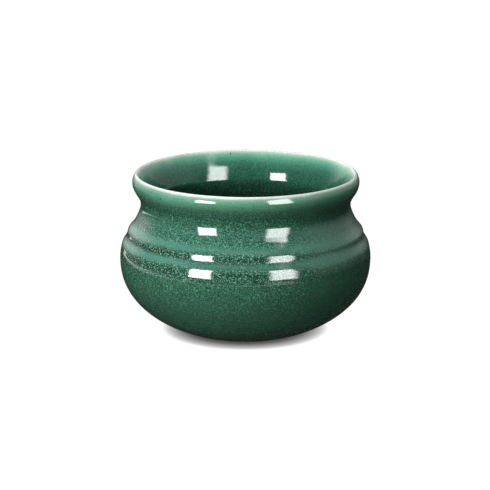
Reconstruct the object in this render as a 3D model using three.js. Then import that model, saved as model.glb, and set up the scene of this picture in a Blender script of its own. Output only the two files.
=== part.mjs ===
import * as THREE from 'three';

// A squat, wide-mouthed stoneware pot for resting and rinsing brushes.
// Millimetres, +Z up, origin at the centre of the foot ring's bearing face.
// Outlines are half sections of (radius, height) points, turned about +Z.

const SEGMENTS = 40;

const HEIGHT = 70;
const BELLY = { radius: 54.9, height: 31.7, sag: 34.5, fullness: 2.14 };
const NECK = { radius: 45.6, height: 56.6 };
const LIP = { radius: 49.4, height: 65.5, crestRadius: 47.4 };
const SHOULDER_LAG = 1.23;

// Soft finger grooves left by throwing, on the shoulder
const GROOVES = [
  { height: 42.2, depth: 0.5, width: 1.7 },
  { height: 48.3, depth: 0.2, width: 1.8 },
];

const GLAZE = 0.55;
const GLAZE_LINE = 1.6;

const INNER_BELLY = { radius: 50.1, height: 32.5, fullness: 2.35 };
const INNER_NECK = { radius: 41.3, height: 56.8, flareFullness: 1.17 };
const FLOOR = 8;

const FOOT = { outer: 24.6, inner: 20.6, chamfer: 0.5, top: 1.2 };
const WELL = { depth: 2.2, fillet: 2.4, filletDrop: 0.3, glazeDrop: 0.7 };

const point = (radius, height) => new THREE.Vector2(radius, height);

// Rises from 0 to 1 and is level at both ends
const ease = (t) => (1 - Math.cos(Math.PI * t)) / 2;

const mix = (from, to, t) => from + (to - from) * t;

// Even steps from one value to another, both ends included
function steps(from, to, count) {
  return Array.from({ length: count + 1 }, (_, i) => mix(from, to, i / count));
}

// Quarter superellipse from the given depth under the widest ring up to that ring
function bowl(widest, sag, lowest, count) {
  const start = Math.asin(((widest.height - lowest) / sag) ** (widest.fullness / 2));
  return steps(start, 0, count).map((angle) => point(
    widest.radius * Math.cos(angle) ** (2 / widest.fullness),
    widest.height - sag * Math.sin(angle) ** (2 / widest.fullness),
  ));
}

function shoulderRadius(height, wide, narrow) {
  const t = (height - wide.height) / (narrow.height - wide.height);
  return mix(wide.radius, narrow.radius, ease(t ** SHOULDER_LAG));
}

function grooveDepth(height) {
  return GROOVES.reduce((sum, groove) => (
    sum + groove.depth * Math.exp(-(((height - groove.height) / groove.width) ** 2))
  ), 0);
}

// Five heights across each groove and a few between them, so that every groove is met at its bottom
function shoulderHeights() {
  const [low, high] = GROOVES.map((groove) => {
    const reach = 1.5 * groove.width;
    return steps(groove.height - reach, groove.height + reach, 4);
  });
  return [
    ...steps(BELLY.height, low[0], 4).slice(1, -1),
    ...low,
    (low[4] + high[0]) / 2,
    ...high,
    ...steps(high[4], NECK.height, 4).slice(1),
  ];
}

// Outside of the glaze, from the glaze line above the foot to the crest of the lip
function outsideOutline() {
  const belly = bowl(BELLY, BELLY.sag, GLAZE_LINE, 10);
  const shoulder = shoulderHeights().map((height) => (
    point(shoulderRadius(height, BELLY, NECK) - grooveDepth(height), height)
  ));
  const flare = steps(0, 1, 6).slice(1).map((t) => (
    point(mix(NECK.radius, LIP.radius, ease(t)), mix(NECK.height, LIP.height, t))
  ));
  return [...belly, ...shoulder, ...flare, ...lipRound().slice(1)];
}

// Quarter ellipse from the outside of the lip up to its crest
function lipRound() {
  return steps(0, Math.PI / 2, 4).map((angle) => point(
    mix(LIP.crestRadius, LIP.radius, Math.cos(angle)),
    mix(LIP.height, HEIGHT, Math.sin(angle)),
  ));
}

// Quarter superellipse, nearly a cone, from the inside of the neck up to the crest
function innerFlare() {
  const power = 2 / INNER_NECK.flareFullness;
  return steps(0, Math.PI / 2, 8).map((angle) => point(
    mix(LIP.crestRadius, INNER_NECK.radius, Math.max(Math.cos(angle), 0) ** power),
    mix(INNER_NECK.height, HEIGHT, Math.sin(angle) ** power),
  ));
}

// Inside of the glaze, from the middle of the floor to the crest of the lip
function insideOutline() {
  const floorAndBelly = bowl(INNER_BELLY, INNER_BELLY.height - FLOOR, FLOOR, 10);
  const shoulder = steps(INNER_BELLY.height, INNER_NECK.height, 6).slice(1).map((height) => (
    point(shoulderRadius(height, INNER_BELLY, INNER_NECK), height)
  ));
  floorAndBelly[0].x = 0;
  return [...floorAndBelly, ...shoulder, ...innerFlare().slice(1)];
}

// Every second point of an outline, moved into the clay by the glaze's thickness
function underGlaze(outline, side) {
  return outline.filter((_, i) => i % 2 === 0).map((spot) => {
    const i = outline.indexOf(spot);
    const before = outline[Math.max(i - 1, 0)];
    const after = outline[Math.min(i + 1, outline.length - 1)];
    const inward = point(before.y - after.y, after.x - before.x).setLength(side * GLAZE);
    return spot.clone().add(inward);
  });
}

// Turns a closed half section, listed anticlockwise with the axis on the left, about +Z
function turned(name, outline, finish) {
  const closed = outline[0].x === 0 ? outline : [...outline, outline[0]];
  const geometry = new THREE.LatheGeometry(closed, SEGMENTS);
  geometry.rotateX(Math.PI / 2);
  const mesh = new THREE.Mesh(geometry, new THREE.MeshStandardMaterial(finish));
  mesh.name = name;
  return mesh;
}

const outside = outsideOutline();
const inside = insideOutline();
const clayOutside = underGlaze(outside, 1);
const clayInside = underGlaze(inside, -1);

// Both coats meet the clay in one ring under the crest
const clayCrest = point(LIP.crestRadius, HEIGHT - GLAZE);
clayOutside[clayOutside.length - 1] = clayCrest;
clayInside[clayInside.length - 1] = clayCrest;
clayInside[0] = point(0, FLOOR - GLAZE);

// Clay ceiling of the recess inside the foot ring, from the axis to where its glaze stops
const wellCeiling = [
  point(0, WELL.depth),
  point(FOOT.inner - WELL.fillet, WELL.depth),
  point(FOOT.inner - WELL.fillet * WELL.filletDrop, WELL.depth - WELL.fillet * WELL.filletDrop),
];

function clayBody() {
  const footRing = [
    point(FOOT.inner, FOOT.chamfer),
    point(FOOT.inner + FOOT.chamfer, 0),
    point(FOOT.outer - FOOT.chamfer, 0),
    point(FOOT.outer, FOOT.chamfer),
    point(FOOT.outer, FOOT.top),
  ];
  const finish = { color: 0x8a6f58, roughness: 0.85, metalness: 0 };
  const outline = [...wellCeiling, ...footRing, ...clayOutside, ...clayInside.slice(0, -1).reverse()];
  return turned('clay_body', outline, finish);
}

function outerGlaze() {
  const finish = { color: 0x2f5a45, roughness: 0.18, metalness: 0 };
  return turned('outer_glaze', [...outside, ...clayOutside.toReversed()], finish);
}

function linerGlaze() {
  const finish = { color: 0x355f4a, roughness: 0.2, metalness: 0 };
  return turned('liner_glaze', [...clayInside, ...inside.toReversed()], finish);
}

function footWellGlaze() {
  const edge = wellCeiling[2];
  const face = [
    point(0, WELL.depth - GLAZE),
    point(FOOT.inner - WELL.fillet - GLAZE * WELL.filletDrop, WELL.depth - GLAZE),
    point(edge.x - GLAZE, edge.y - GLAZE * WELL.glazeDrop),
  ];
  const finish = { color: 0x2f5a45, roughness: 0.2, metalness: 0 };
  return turned('foot_well_glaze', [...face, ...wellCeiling.toReversed()], finish);
}

const pot = new THREE.Group();
pot.add(clayBody(), outerGlaze(), linerGlaze(), footWellGlaze());

export default pot;
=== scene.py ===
import math

import bmesh
import bpy
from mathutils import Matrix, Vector, noise


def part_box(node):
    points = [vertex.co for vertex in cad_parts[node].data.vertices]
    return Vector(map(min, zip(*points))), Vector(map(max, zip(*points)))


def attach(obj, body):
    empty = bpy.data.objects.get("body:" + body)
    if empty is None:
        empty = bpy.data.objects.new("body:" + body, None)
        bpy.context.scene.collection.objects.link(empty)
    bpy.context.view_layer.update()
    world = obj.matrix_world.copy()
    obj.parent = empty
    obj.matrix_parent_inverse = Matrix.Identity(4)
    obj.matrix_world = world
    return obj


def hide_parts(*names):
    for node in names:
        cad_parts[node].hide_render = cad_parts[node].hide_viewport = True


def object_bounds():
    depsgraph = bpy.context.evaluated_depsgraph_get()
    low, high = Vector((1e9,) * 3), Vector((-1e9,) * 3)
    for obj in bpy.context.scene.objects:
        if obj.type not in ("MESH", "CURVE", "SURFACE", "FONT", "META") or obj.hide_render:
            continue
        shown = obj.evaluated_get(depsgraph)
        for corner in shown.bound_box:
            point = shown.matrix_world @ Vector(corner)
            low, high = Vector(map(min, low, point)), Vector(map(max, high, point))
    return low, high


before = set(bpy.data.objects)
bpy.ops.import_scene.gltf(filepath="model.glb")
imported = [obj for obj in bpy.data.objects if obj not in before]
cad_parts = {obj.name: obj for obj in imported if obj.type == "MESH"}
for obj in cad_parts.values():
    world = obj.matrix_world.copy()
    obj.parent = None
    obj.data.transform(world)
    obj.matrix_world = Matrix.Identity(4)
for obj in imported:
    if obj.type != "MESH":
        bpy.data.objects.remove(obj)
cadLow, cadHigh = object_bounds()
potHeight = cadHigh.z - cadLow.z
potCentre = (cadLow + cadHigh) / 2
mm = 0.001
lookTop = potHeight / mm  # the glaze ramps run from the foot up to here, in millimetres

shot = {
    "elevation": 14.2,  # degrees
    "distance": 1.2,
    "lens": 201,
    "aimShift": (-0.1 * mm, 0, 2.3 * mm),
}


def makeCamera():
    print("camera")
    tilt = math.radians(shot["elevation"])
    data = bpy.data.cameras.new("shotCamera")
    data.lens = shot["lens"]
    camera = bpy.data.objects.new("shotCamera", data)
    bpy.context.scene.collection.objects.link(camera)
    camera.location = potCentre + shot["distance"] * Vector((0, -math.cos(tilt), math.sin(tilt)))
    aim = potCentre + Vector(shot["aimShift"])
    camera.rotation_mode = "QUATERNION"
    camera.rotation_quaternion = (aim - camera.location).to_track_quat("-Z", "Y")
    bpy.context.scene.camera = camera


class Signal:
    # A shader socket that can stand in a sum
    def __init__(self, shader, socket):
        self.shader = shader
        self.socket = socket

    def __add__(self, other):
        return self.shader.maths("ADD", self, other)

    def __radd__(self, other):
        return self.shader.maths("ADD", other, self)

    def __sub__(self, other):
        return self.shader.maths("SUBTRACT", self, other)

    def __rsub__(self, other):
        return self.shader.maths("SUBTRACT", other, self)

    def __mul__(self, other):
        return self.shader.maths("MULTIPLY", self, other)

    def __rmul__(self, other):
        return self.shader.maths("MULTIPLY", other, self)


class Shader:
    def __init__(self, tree):
        self.tree = tree

    def node(self, kind, settings=None, inputs=None, output=0):
        made = self.tree.nodes.new(kind)
        for name, value in (settings or {}).items():
            if name == "stops":
                self.setStops(made.color_ramp.elements, value)
            else:
                setattr(made, name, value)
        for name, value in (inputs or {}).items():
            self.plug(value, made.inputs[name])
        return Signal(self, made.outputs[output]) if made.outputs else None

    def plug(self, value, socket):
        if isinstance(value, Signal):
            self.tree.links.new(value.socket, socket)
        else:
            socket.default_value = value

    def maths(self, operation, first, second=0.0):
        return self.node("ShaderNodeMath", {"operation": operation}, {0: first, 1: second})

    def setStops(self, elements, stops):
        while len(elements) < len(stops):
            elements.new(0.5)
        for element, (place, colour) in zip(elements, stops):
            element.position = place
            element.color = (*colour, 1)

    def band(self, value, low, high):
        # 0 at low, 1 at high, smooth between them and level beyond them
        settings = {"interpolation_type": "SMOOTHSTEP"}
        inputs = {"Value": value, "From Min": low, "From Max": high}
        return self.node("ShaderNodeMapRange", settings, inputs)

    def blend(self, mask, colourA, colourB, mode="MIX"):
        # colourA where the mask is 0, colourB where it is 1
        settings = {"data_type": "RGBA", "blend_type": mode}
        return self.node("ShaderNodeMix", settings, {0: mask, 6: colourA, 7: colourB}, output=2)

    def noise(self, place, scale, detail=2.0, roughness=0.5):
        inputs = {"Vector": place, "Scale": scale, "Detail": detail, "Roughness": roughness}
        return self.node("ShaderNodeTexNoise", None, inputs)

    def spots(self, place, look):
        # Round spots in a share of the cells
        inputs = {"Vector": place, "Scale": look["scale"]}
        away = self.node("ShaderNodeTexVoronoi", None, inputs)
        lot = self.node("ShaderNodeTexVoronoi", None, inputs, output=1)
        chosen = self.band(self.node("ShaderNodeSeparateColor", None, {0: lot}), *look["share"])
        return (1 - self.band(away, *look["radius"])) * chosen


def newFinish(name):
    material = bpy.data.materials.new(name)
    material.use_nodes = True
    tree = material.node_tree
    return material, Shader(tree), tree.nodes["Principled BSDF"]


outerLook = {
    # Height in millimetres and colour, from the glaze line up to the crest. The pale ledges at 40.7
    # and 46.8 mm are partly the glaze's own colour and partly a painted sheen from overhead light,
    # and the dark bands under them are partly painted shade; the white at the crest is partly the
    # glaze breaking thin and partly a painted reflection.
    "stops": [
        (5, (0.024, 0.076, 0.047)),
        (20, (0.025, 0.078, 0.049)),
        (32, (0.027, 0.092, 0.056)),
        (37.5, (0.011, 0.046, 0.026)),
        (40.7, (0.056, 0.163, 0.12)),
        (43.2, (0.008, 0.033, 0.018)),
        (45, (0.026, 0.093, 0.063)),
        (46.8, (0.059, 0.195, 0.14)),
        (50, (0.026, 0.094, 0.064)),
        (52.5, (0.037, 0.121, 0.084)),
        (56, (0.024, 0.088, 0.053)),
        (60, (0.02, 0.07, 0.042)),
        (63.5, (0.037, 0.105, 0.067)),
        (66, (0.066, 0.2, 0.126)),
        (67.4, (0.09, 0.265, 0.172)),
        (68.8, (0.22, 0.36, 0.28)),
        (69.7, (0.8, 0.86, 0.82)),
    ],
    "speckle": {"rise": (16, 36), "fall": (56, 66), "faint": 0.27, "strong": 0.74},
    "paleGrain": (0.14, 0.41, 0.3),
    "darkGrain": (0.005, 0.022, 0.013),
    # Pale dots, partly crystals in the glaze and partly painted glints, crowded in this belt
    "dotsAndGlints": {"rise": (30, 38), "fall": (45, 58), "strong": 0.95},
    # Heights of the ledges, where the glaze is smooth and little of the speckle is left
    "calm": {"at": (40.8, 46.9), "reach": (0.68, 1.7), "left": 0.42},
    # On the +X side a brighter green is laid over the belt, a painted sheen, and the speckle is
    # calmed; on the other side the ledges are paler, a painted sheen, and the grain turns rustier;
    # across is its X
    "evenSheenSide": {
        "across": (14, 36), "rise": (34, 39), "fall": (51, 57), "strong": 0.75, "calm": 0.6,
        # colour is a painted sheen over the belt of this side
        "colour": (0.042, 0.15, 0.096),
    },
    "ledgeSheenRustSide": {
        "across": (-12, -34), "strong": 0.55,
        # ledge is a painted sheen on the ledges of this side; rust is the grain's own colour
        "ledge": (0.08, 0.235, 0.175), "rust": (0.28, 0.29, 0.2),
    },
}
linerLook = {
    # Height in millimetres and colour; the white at the crest is partly the glaze breaking thin and
    # partly a painted reflection
    "stops": [
        (8, (0.018, 0.068, 0.044)),
        (50, (0.014, 0.052, 0.032)),
        (54, (0.016, 0.072, 0.042)),
        (58, (0.025, 0.115, 0.073)),
        (62, (0.031, 0.133, 0.086)),
        (64.5, (0.05, 0.194, 0.131)),
        (66.5, (0.098, 0.332, 0.22)),
        (68, (0.2, 0.47, 0.33)),
        (69, (0.46, 0.63, 0.52)),
        (69.7, (0.9, 0.95, 0.92)),
    ],
    "speckle": {"rise": (30, 50), "fall": (60, 70), "faint": 0.3, "strong": 0.45},
    "paleGrain": (0.12, 0.34, 0.25),
    "darkGrain": (0.004, 0.02, 0.012),
    "dotsAndGlints": {"rise": (30, 50), "fall": (60, 69), "strong": 0.08},
}
grain = {
    # How far the height of each colour wanders round the pot, in millimetres
    "drift": {"scale": 55, "height": 1.2},
    "cloud": {"scale": 130, "share": (0.3, 0.7), "strong": 0.3, "colour": (0.62, 0.68, 0.65)},
    "fine": {"scale": 1900, "pale": (0.53, 0.66), "dark": (0.48, 0.35)},
    "coarse": {"scale": 700, "share": (0.35, 0.65), "least": 0.35},
    # Pale dots, partly crystals in the glaze and partly painted glints
    "dotsAndGlints": {"scale": 2150, "radius": (0.15, 0.42), "share": (0.5, 0.7), "least": 0.06},
    "dotAndGlintColour": (0.4, 0.7, 0.57),
    "pinholes": {"scale": 170, "radius": (0.035, 0.06), "share": (0.8, 0.84)},
    "pinholeColour": (0.008, 0.014, 0.01),
    "roughness": (0.05, 0.09),
    "bump": {"Strength": 0.05, "Distance": 0.015 * mm},
}


def zoneMask(shader, height, zone):
    return shader.band(height, *zone["rise"]) - shader.band(height, *zone["fall"])


def heightColour(shader, look, place, height, cloud):
    drift = grain["drift"]
    wander = (shader.noise(place, drift["scale"], detail=3) - 0.5) * drift["height"]
    stops = [(tall / lookTop, colour) for tall, colour in look["stops"]]
    level = (height + wander) * (1 / lookTop)
    base = shader.node("ShaderNodeValToRGB", {"stops": stops}, {0: level})
    cloudy = grain["cloud"]
    return shader.blend(cloud * cloudy["strong"], base, (*cloudy["colour"], 1), "MULTIPLY")


def ledgesAndSides(shader, look, base, across, height, cloud):
    # What the ledges and the two sides do to the base colour, the pale grain and the speckle: a
    # painted sheen over the +X belt, a painted sheen on the ledges of the other side, and rust in
    # its grain
    calm = look["calm"]
    lively = 1.0
    ledges = 0.0
    for ledge in calm["at"]:
        away = shader.band(shader.maths("ABSOLUTE", height - ledge), *calm["reach"])
        lively = (calm["left"] + away * (1 - calm["left"])) * lively
        ledges = ledges + (1 - away)
    # A brighter green over the belt on the +X side is a painted sheen; the speckle is calmed there
    # too
    evenSheen = look["evenSheenSide"]
    side = shader.band(across, *evenSheen["across"])
    belt = shader.band(height, *evenSheen["rise"]) * (1 - shader.band(height, *evenSheen["fall"]))
    base = shader.blend(side * belt * evenSheen["strong"], base, (*evenSheen["colour"], 1))
    lively = lively * (1 - side * evenSheen["calm"])
    # Paler ledges on the other side are a painted sheen; the rust in the pale grain is the glaze's
    # own colour
    ledgeSheenRust = look["ledgeSheenRustSide"]
    side = shader.band(across, *ledgeSheenRust["across"]) * ledgeSheenRust["strong"]
    base = shader.blend(side * ledges, base, (*ledgeSheenRust["ledge"], 1))
    rusty = shader.blend(side * belt * cloud, (*look["paleGrain"], 1), (*ledgeSheenRust["rust"], 1))
    return base, rusty, lively


def glazeFinish(name, look):
    material, shader, surface = newFinish(name)
    place = shader.node("ShaderNodeTexCoord", output=3)
    # Both in millimetres
    across, height = (
        shader.node("ShaderNodeSeparateXYZ", None, {0: place}, output=i) * (1 / mm) for i in (0, 2)
    )
    cloudy = grain["cloud"]
    cloud = shader.noise(place, cloudy["scale"], detail=4, roughness=0.6)
    cloud = shader.band(cloud, *cloudy["share"])
    colour = heightColour(shader, look, place, height, cloud)
    paleGrain = (*look["paleGrain"], 1)
    lively = 1.0
    if "calm" in look:
        colour, paleGrain, lively = ledgesAndSides(shader, look, colour, across, height, cloud)

    speckle = look["speckle"]
    zone = zoneMask(shader, height, speckle)
    amount = (speckle["faint"] + zone * (speckle["strong"] - speckle["faint"])) * lively
    fine = shader.noise(place, grain["fine"]["scale"], roughness=0.6)
    coarse = shader.noise(place, grain["coarse"]["scale"], detail=3, roughness=0.6)
    least = grain["coarse"]["least"]
    clumps = least + shader.band(coarse, *grain["coarse"]["share"]) * (1 - least)
    pale = shader.band(fine, *grain["fine"]["pale"]) * clumps
    dark = shader.band(fine, *grain["fine"]["dark"])
    colour = shader.blend(pale * amount, colour, paleGrain)
    colour = shader.blend(dark * amount, colour, (*look["darkGrain"], 1))

    # Pale dots: partly crystals in the glaze, partly painted glints
    crowd = grain["dotsAndGlints"]["least"] + zoneMask(shader, height, look["dotsAndGlints"])
    dotsAndGlints = shader.spots(place, grain["dotsAndGlints"]) * crowd * lively * look["dotsAndGlints"]["strong"]
    colour = shader.blend(dotsAndGlints, colour, (*grain["dotAndGlintColour"], 1))
    pinholes = shader.spots(place, grain["pinholes"])
    colour = shader.blend(pinholes, colour, (*grain["pinholeColour"], 1))

    smoothest, roughest = grain["roughness"]
    bump = shader.node("ShaderNodeBump", None, {**grain["bump"], "Height": coarse})
    shader.plug(colour, surface.inputs["Base Color"])
    shader.plug(smoothest + coarse * (roughest - smoothest), surface.inputs["Roughness"])
    shader.plug(bump, surface.inputs["Normal"])
    return material


clayLook = {
    "warmScale": 60,
    "cool": (0.25, 0.15, 0.09),
    "warm": (0.36, 0.24, 0.16),
    "gritScale": 900,
    "gritShare": (0.55, 0.7),
    "grit": (0.1, 0.06, 0.04),
    "roughness": (0.8, 0.95),
    "bump": {"Strength": 0.4, "Distance": 0.08 * mm},
}


def clayFinish():
    material, shader, surface = newFinish("bareStoneware")
    place = shader.node("ShaderNodeTexCoord", output=3)
    grit = shader.noise(place, clayLook["gritScale"], detail=4, roughness=0.7)
    warm = shader.noise(place, clayLook["warmScale"], detail=3)
    colour = shader.blend(warm, (*clayLook["cool"], 1), (*clayLook["warm"], 1))
    gritty = shader.band(grit, *clayLook["gritShare"])
    colour = shader.blend(gritty, colour, (*clayLook["grit"], 1))
    smoothest, roughest = clayLook["roughness"]
    bump = shader.node("ShaderNodeBump", None, {**clayLook["bump"], "Height": grit})
    shader.plug(colour, surface.inputs["Base Color"])
    shader.plug(smoothest + grit * (roughest - smoothest), surface.inputs["Roughness"])
    shader.plug(bump, surface.inputs["Normal"])
    return material


turning = {
    "weld": 0.002 * mm,
    "cuts": 3,  # new points on each edge of an outline
    "smoothing": 7,
    "steps": 256,
}


def halfSection(*nodeNames):
    # The CAD outline where it crosses the -Y half plane, as loose edges
    wire = bmesh.new()
    for name in nodeNames:
        wire.from_mesh(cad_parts[name].data)
    bmesh.ops.remove_doubles(wire, verts=wire.verts, dist=turning["weld"])
    away = [v for v in wire.verts if abs(v.co.x) > turning["weld"] or v.co.y > turning["weld"]]
    bmesh.ops.delete(wire, geom=away, context="VERTS")
    return wire


def visibleSkin():
    # Outside and inside of the glaze as one outline, without its back against the clay
    wire = halfSection("outer_glaze", "liner_glaze")
    clay = halfSection("clay_body")
    clayPoints = [v.co.copy() for v in clay.verts]
    clay.free()
    backed = [v for v in wire.verts if min((v.co - p).length for p in clayPoints) < turning["weld"]]
    bmesh.ops.delete(wire, geom=backed, context="VERTS")
    return wire


def divide(wire):
    bmesh.ops.subdivide_edges(wire, edges=wire.edges, cuts=turning["cuts"])


def soften(wire, verts, passes):
    for _ in range(passes):
        bmesh.ops.smooth_vert(wire, verts=verts, factor=0.5, use_axis_y=True, use_axis_z=True)


def isInner(vert):
    # False at the two ends of an open outline
    return len(vert.link_edges) == 2


def refine(wire):
    divide(wire)
    soften(wire, [v for v in wire.verts if isInner(v)], turning["smoothing"])


def turn(wire):
    bmesh.ops.spin(
        wire, geom=wire.verts[:] + wire.edges[:], cent=(0, 0, 0), axis=(0, 0, 1), dvec=(0, 0, 0),
        angle=math.tau, steps=turning["steps"], use_merge=True, use_duplicate=False,
    )
    bmesh.ops.remove_doubles(wire, verts=wire.verts, dist=turning["weld"])
    bmesh.ops.recalc_face_normals(wire, faces=wire.faces)


hand = {
    "lean": 0.3 * mm,
    "oval": 0.18 * mm,
    "ovalTurn": 0.7,  # radians
    "wander": 0.12 * mm,
    "wanderSize": 22 * mm,
    "dimple": 0.025 * mm,
    "dimpleSize": 6 * mm,
    "dimpleShift": Vector((3, 9, 5)),
    "rings": 0.03 * mm,
    "ringPitch": 3.1 * mm,
    "ringPatch": 15 * mm,
    "ringShift": Vector((7, 3, 1)),
    "ringLeast": 0.4,
    # Height, width and size of the finger ridges on the outside
    "ridges": (
        (39.2 * mm, 1.4 * mm, 0.16 * mm),
        (44.9 * mm, 1.6 * mm, 0.42 * mm),
        (67.0 * mm, 1.1 * mm, 0.12 * mm),
    ),
    # Nothing moves at the axis, and everything moves fully from this radius out
    "axis": 1 * mm,
    "fullFrom": 20 * mm,
}


def ringsAndDimples(spot, turned, level):
    spiral = math.tau * spot.z / hand["ringPitch"] + turned
    patch = noise.noise(spot / hand["ringPatch"] + hand["ringShift"])
    strength = hand["ringLeast"] + (1 - hand["ringLeast"]) * patch
    rings = hand["rings"] * math.sin(spiral) * strength * min(1, level * 2)
    return rings + hand["dimple"] * noise.noise(spot / hand["dimpleSize"] + hand["dimpleShift"])


def throwByHand(shape, fine):
    # The slow unevenness of a pot thrown on a wheel, and the fine marks of the glazed faces
    for vert in shape.verts:
        spot = vert.co.copy()
        outward = Vector((spot.x, spot.y, 0))
        reach = outward.length
        if reach < hand["axis"]:
            continue
        outward /= reach
        turned = math.atan2(spot.y, spot.x)
        level = spot.z / potHeight
        push = hand["wander"] * noise.noise(spot / hand["wanderSize"])
        push += hand["oval"] * math.cos(2 * turned + hand["ovalTurn"]) * level
        if vert.normal.dot(outward) > 0:
            for height, width, size in hand["ridges"]:
                push += size * math.exp(-((spot.z - height) / width) ** 2)
        if fine:
            push += ringsAndDimples(spot, turned, level)
        vert.co += outward * push * min(1, reach / hand["fullFrom"])
        vert.co.x += hand["lean"] * level * level


def finishPiece(shape, name, nodeName, material):
    mesh = bpy.data.meshes.new(name)
    shape.to_mesh(mesh)
    shape.free()
    mesh.shade_smooth()
    mesh.materials.append(material)
    piece = bpy.data.objects.new(name, mesh)
    bpy.context.scene.collection.objects.link(piece)
    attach(piece, "root")
    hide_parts(nodeName)
    return piece


def isOutside(face):
    centre = face.calc_center_median()
    return face.normal.x * centre.x + face.normal.y * centre.y > 0


coatLook = {"thickness": 0.45 * mm}


def makeGlaze():
    print("glaze coats")
    skin = visibleSkin()
    refine(skin)
    turn(skin)
    skin.normal_update()
    for face in skin.faces:
        face.material_index = isOutside(face)  # marks the side until the coats are parted
    throwByHand(skin, True)
    for name, nodeName, slotName, outside in (
        ("potOuterGlaze", "outer_glaze", "outer_glaze", True),
        ("potLinerGlaze", "liner_glaze", "liner_glaze", False),
    ):
        coat = skin.copy()
        others = [f for f in coat.faces if f.material_index != outside]
        bmesh.ops.delete(coat, geom=others, context="FACES")
        for face in coat.faces:
            face.material_index = 0
        bmesh.ops.solidify(coat, geom=coat.faces[:], thickness=coatLook["thickness"])
        look = outerLook if outside else linerLook
        finishPiece(coat, name, nodeName, glazeFinish(name + "Finish", look))
    skin.free()


clayFit = {
    "underGlaze": 0.55 * mm,
    "aboveGlazeLine": 0.1 * mm,
    "roundWell": 1 * mm,
    "smoothing": 3,
}
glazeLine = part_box("outer_glaze")[0].z
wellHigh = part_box("foot_well_glaze")[1]


def isUnderGlaze(vert):
    # True for what the outer and liner coats cover, and False for the foot ring and its well
    room = clayFit["roundWell"]
    inWell = vert.co.z < wellHigh.z + room and -vert.co.y < wellHigh.x + room
    return vert.co.z > glazeLine + clayFit["aboveGlazeLine"] and not inWell


def makeClay():
    print("clay body")
    skin = visibleSkin()
    refine(skin)
    skinPoints = [v.co.copy() for v in skin.verts]
    skin.free()
    wire = halfSection("clay_body")
    divide(wire)
    covered = [v for v in wire.verts if isUnderGlaze(v)]
    for vert in covered:
        # Just under the glaze, along the line to its nearest point
        near = min(skinPoints, key=lambda spot: (spot - vert.co).length_squared)
        vert.co = near + (vert.co - near).normalized() * clayFit["underGlaze"]
    soften(wire, [v for v in covered if isInner(v)], clayFit["smoothing"])
    turn(wire)
    wire.normal_update()
    throwByHand(wire, False)
    finishPiece(wire, "potClayBody", "clay_body", clayFinish())


def makeFootWell():
    print("foot well glaze")
    wire = halfSection("foot_well_glaze")
    refine(wire)
    turn(wire)
    throwByHand(wire, False)
    finish = glazeFinish("footWellFinish", outerLook)
    finishPiece(wire, "potFootWellGlaze", "foot_well_glaze", finish)


studio = {
    # What polished surfaces mirror: azimuth from -Y towards +X and elevation, in degrees
    "panels": [
        {"azimuth": (-52, -32), "elevation": (1, 28), "edge": 1, "strength": 26},
        {"azimuth": (23, 47), "elevation": (0, 34), "edge": 6, "strength": 17},
        {"azimuth": (38, 50), "elevation": (34, 52), "edge": 8, "strength": 2},
        {"azimuth": (62, 150), "elevation": (4, 60), "edge": 30, "strength": 0.55},
        {"azimuth": (-170, -120), "elevation": (2, 68), "edge": 28, "strength": 1.25},
        {"azimuth": (135, 225), "elevation": (6, 60), "edge": 40, "strength": 0.45},
        {"azimuth": (-150, 45), "elevation": (-8.8, -6.6), "edge": 1, "strength": 1.7},
    ],
    # Overhead and on the -Y side only, as along is the Y of the way looked in
    "ceiling": {"elevation": (57, 85), "along": (0.15, -0.25), "strength": 2.2},
    "darkness": 0.02,
    "fill": 0.035,
}
lamps = {
    # Soft boxes that polished surfaces don't mirror; light is what a facing white surface would show
    "lowLeftLamp": {
        "azimuth": -62, "elevation": 7, "distance": 1.1,
        "size": (0.5, 0.2), "light": 0.4,
    },
    "leftLamp": {
        "azimuth": -38, "elevation": 33, "distance": 1.1,
        "size": (0.5, 0.4), "light": 0.44,
    },
    "frontLamp": {
        "azimuth": -23, "elevation": 15, "distance": 0.5,
        "size": (0.24, 0.16), "light": 0.66,
    },
    "topLamp": {
        "azimuth": -24, "elevation": 64, "distance": 1.1,
        "size": (0.6, 0.6), "light": 0.29,
    },
    "backLamp": {
        "azimuth": 105, "elevation": 58, "distance": 1.1,
        "size": (0.6, 0.6), "light": 0.3,
    },
    "farLamp": {
        "azimuth": 165, "elevation": 30, "distance": 1.1,
        "size": (0.5, 0.4), "light": 0.3,
    },
}


def makeLamp(name, lamp):
    aside = math.radians(lamp["azimuth"])
    rise = math.radians(lamp["elevation"])
    level = Vector((math.sin(aside), -math.cos(aside), 0))
    way = level * math.cos(rise) + Vector((0, 0, math.sin(rise)))
    data = bpy.data.lights.new(name, "AREA")
    data.shape = "RECTANGLE"
    data.size, data.size_y = lamp["size"]
    data.energy = lamp["light"] * (math.pi * (lamp["distance"] - cadHigh.x)) ** 2
    light = bpy.data.objects.new(name, data)
    bpy.context.scene.collection.objects.link(light)
    light.location = potCentre + way * lamp["distance"]
    light.rotation_mode = "QUATERNION"
    light.rotation_quaternion = way.to_track_quat("Z", "Y")
    light.visible_glossy = False
    light.visible_camera = False


floorLook = {
    "size": 3,
    "seen": 1.02,
    "bounce": 0.42,
    "shadowReach": 4.6 * mm,
    "shadowRays": 16,
}


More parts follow.
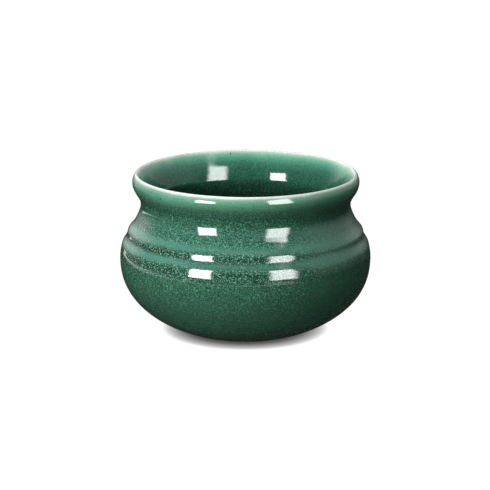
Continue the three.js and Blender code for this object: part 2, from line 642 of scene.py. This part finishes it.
def makeFloor():
    print("floor")
    plane = bmesh.new()
    bmesh.ops.create_grid(plane, x_segments=1, y_segments=1, size=floorLook["size"])
    mesh = bpy.data.meshes.new("paleFloor")
    plane.to_mesh(mesh)
    plane.free()
    material = bpy.data.materials.new("paleFloorFinish")
    material.use_nodes = True
    tree = material.node_tree
    tree.nodes.clear()
    shader = Shader(tree)
    isCamera = shader.node("ShaderNodeLightPath", output=0)
    bounce = shader.node("ShaderNodeBsdfDiffuse", None, {"Color": (*[floorLook["bounce"]] * 3, 1)})
    rays = {"samples": floorLook["shadowRays"]}
    reach = {"Distance": floorLook["shadowReach"]}
    # To the camera the floor is an even white glow, with a painted contact shadow where the pot lies
    # within reach above it
    openness = shader.node("ShaderNodeAmbientOcclusion", rays, reach, output=1)
    seen = shader.node("ShaderNodeEmission", None, {"Strength": openness * floorLook["seen"]})
    mixed = shader.node("ShaderNodeMixShader", None, {0: isCamera, 1: bounce, 2: seen})
    shader.node("ShaderNodeOutputMaterial", None, {"Surface": mixed})
    mesh.materials.append(material)
    floor = bpy.data.objects.new("paleFloor", mesh)
    bpy.context.scene.collection.objects.link(floor)
    floor.visible_glossy = False


def between(shader, angle, span, edge):
    # 1 inside the span, 0 outside, also where the span runs past 180 degrees
    middle = (span[0] + span[1]) / 2
    half = (span[1] - span[0]) / 2
    away = shader.maths("PINGPONG", angle - middle, 180)
    return 1 - shader.band(away, half - edge / 2, half + edge / 2)


def makeWorld():
    print("surroundings")
    world = bpy.data.worlds.new("studio")
    bpy.context.scene.world = world
    world.use_nodes = True
    tree = world.node_tree
    tree.nodes.clear()
    shader = Shader(tree)
    way = shader.node("ShaderNodeTexCoord", output=0)
    across, along, up = (
        shader.node("ShaderNodeSeparateXYZ", None, {0: way}, output=i) for i in range(3)
    )
    degree = 180 / math.pi
    aside = shader.maths("ARCTAN2", across, along * -1) * degree
    rise = shader.maths("ARCSINE", up) * degree

    ceiling = studio["ceiling"]
    overhead = shader.band(rise, *ceiling["elevation"]) * shader.band(along, *ceiling["along"])
    mirrored = studio["darkness"] + overhead * ceiling["strength"]
    for panel in studio["panels"]:
        wide = between(shader, aside, panel["azimuth"], panel["edge"])
        tall = between(shader, rise, panel["elevation"], panel["edge"])
        mirrored = mirrored + wide * tall * panel["strength"]

    isCamera, isGlossy = (shader.node("ShaderNodeLightPath", output=i) for i in (0, 3))
    white = (1, 1, 1, 1)
    glossy = shader.node("ShaderNodeBackground", None, {"Color": white, "Strength": mirrored})
    diffuse = shader.node("ShaderNodeBackground", None, {"Color": white, "Strength": studio["fill"]})
    seen = shader.node("ShaderNodeBackground", None, {"Color": white, "Strength": 1.0})
    mixed = shader.node("ShaderNodeMixShader", None, {0: isGlossy, 1: diffuse, 2: glossy})
    mixed = shader.node("ShaderNodeMixShader", None, {0: isCamera, 1: mixed, 2: seen})
    shader.node("ShaderNodeOutputWorld", None, {"Surface": mixed})


makeCamera()
makeGlaze()
makeClay()
makeFootWell()
makeFloor()
print("lamps")
for lampName, lamp in lamps.items():
    makeLamp(lampName, lamp)
makeWorld()
bpy.context.scene.view_settings.view_transform = "Standard"
